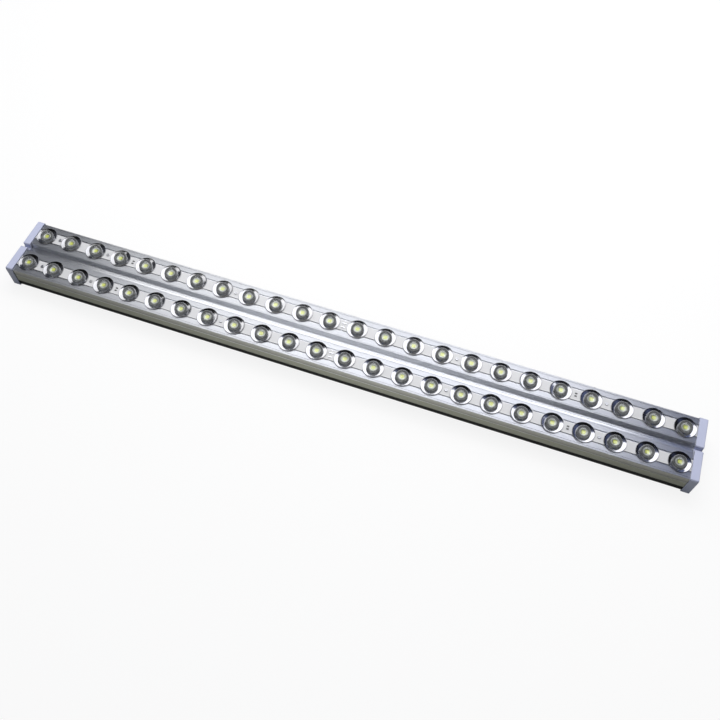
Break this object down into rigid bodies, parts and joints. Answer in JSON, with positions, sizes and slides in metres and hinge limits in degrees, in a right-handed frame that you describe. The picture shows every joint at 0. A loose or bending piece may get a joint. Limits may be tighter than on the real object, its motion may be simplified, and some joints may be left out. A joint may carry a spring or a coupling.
{
  "type": "led light bar",
  "caption": "Long twin-row LED light bar: two decks of domed lamps in dished rings on an aluminium profile with notched end caps and a black base tray.",
  "frame": {"origin": "middle of the bar's length and width, on the plane the end caps and the insert flanges rest on", "axes": "+X along the bar with the power socket at the -X end, +Y from the front row to the rear row, +Z the way the light leaves"},
  "size_m": [1.007, 0.094, 0.0462],
  "materials": {
    "housing_aluminium": "satin extruded, fine lines along the length",
    "tray_black": "black anodised, satin",
    "cap_plastic": "fine moulded texture, pale lavender grey",
    "seal_rubber": "matte",
    "board_white": "pale solder mask over an aluminium core",
    "thermal_tape": "matte",
    "screw_steel": "nickel plated",
    "zinc_steel": "zinc plated",
    "solder": "bright solder",
    "resistor_black": "matte",
    "led_ceramic": "white, satin",
    "led_phosphor": "yellow, matte",
    "lens_clear": "clear, polished",
    "reflector_chrome": "polished",
    "driver_green": "green solder mask",
    "ferrite": "dark grey, matte",
    "capacitor_sleeve": "black sleeve, bright top",
    "chip_black": "moulded epoxy",
    "socket_black": "moulded, fine texture",
    "contact_brass": "polished",
    "wire_red": "soft insulation",
    "wire_white": "soft insulation"
  },
  "bodies": {
    "root": {"base_screws": "screw_steel", "base_seals": "seal_rubber", "base_tray": "tray_black", "board_links": "solder", "board_screws": "screw_steel", "cap_screws": "screw_steel", "chip_resistors": "resistor_black", "cross_leads": "wire_red", "driver_board_front": "driver_green", "driver_board_rear": "driver_green", "driver_capacitors": "capacitor_sleeve", "driver_chips": "chip_black", "driver_inductors": "ferrite", "driver_screws": "screw_steel", "driver_standoffs": "contact_brass", "end_cap_left": "cap_plastic", "end_cap_right": "cap_plastic", "gasket_left": "seal_rubber", "gasket_right": "seal_rubber", "housing": "housing_aluminium", "lamp_leads": "wire_white", "lead_grommets": "seal_rubber", "led_board_front_left": "board_white", "led_board_front_right": "board_white", "led_board_rear_left": "board_white", "led_board_rear_right": "board_white", "led_packages": "led_ceramic", "led_phosphors": "led_phosphor", "lenses_front": "lens_clear", "lenses_rear": "lens_clear", "mounting_inserts": "zinc_steel", "power_socket_core": "socket_black", "power_socket_nut": "socket_black", "power_socket_pins": "contact_brass", "power_socket_shell": "socket_black", "reflectors_front": "reflector_chrome", "reflectors_rear": "reflector_chrome", "solder_joints": "solder", "supply_leads": "wire_red", "thermal_tapes": "thermal_tape"}
  },
  "joints": []
}
